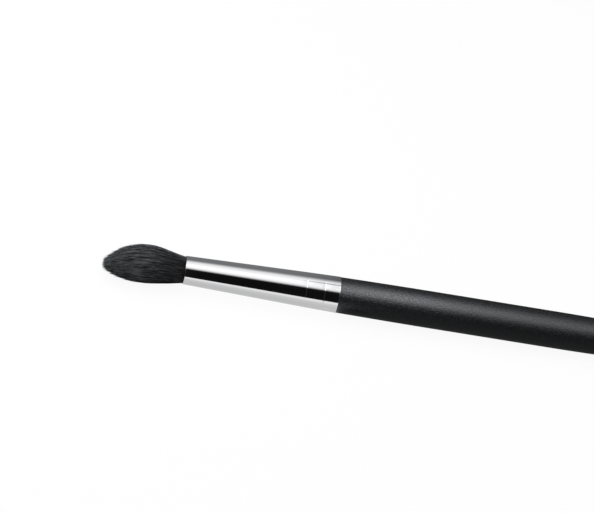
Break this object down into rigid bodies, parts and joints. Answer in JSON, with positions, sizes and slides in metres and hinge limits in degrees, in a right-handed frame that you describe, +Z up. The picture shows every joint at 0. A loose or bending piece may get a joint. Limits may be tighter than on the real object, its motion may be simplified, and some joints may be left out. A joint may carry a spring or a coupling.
{
  "type": "eyeshadow brush",
  "caption": "Round tapered make-up brush lying on its side: charcoal hair tuft, polished crimped metal ferrule and a satin black lacquered wooden handle.",
  "frame": {"origin": "under the middle of the brush's length, on the surface that it lies on", "axes": "+X along the brush from the hair towards the tail of the handle, +Z up"},
  "size_m": [0.1758, 0.0092, 0.0093],
  "materials": {
    "hair": "fine charcoal bristle, soft sheen",
    "thread": "waxed polyester thread",
    "resin": "set epoxy, clear amber",
    "ferrule_metal": "polished nickel plate",
    "glue": "set wood glue",
    "wood": "fine sanded birch",
    "lacquer": "satin black lacquer with a fine grain"
  },
  "bodies": {
    "root": {"hair_tuft": "hair", "hair_roots": "hair", "root_thread": "thread", "resin_plug": "resin", "ferrule": "ferrule_metal", "tenon_glue": "glue", "handle_core": "wood", "handle_lacquer": "lacquer"}
  },
  "joints": []
}
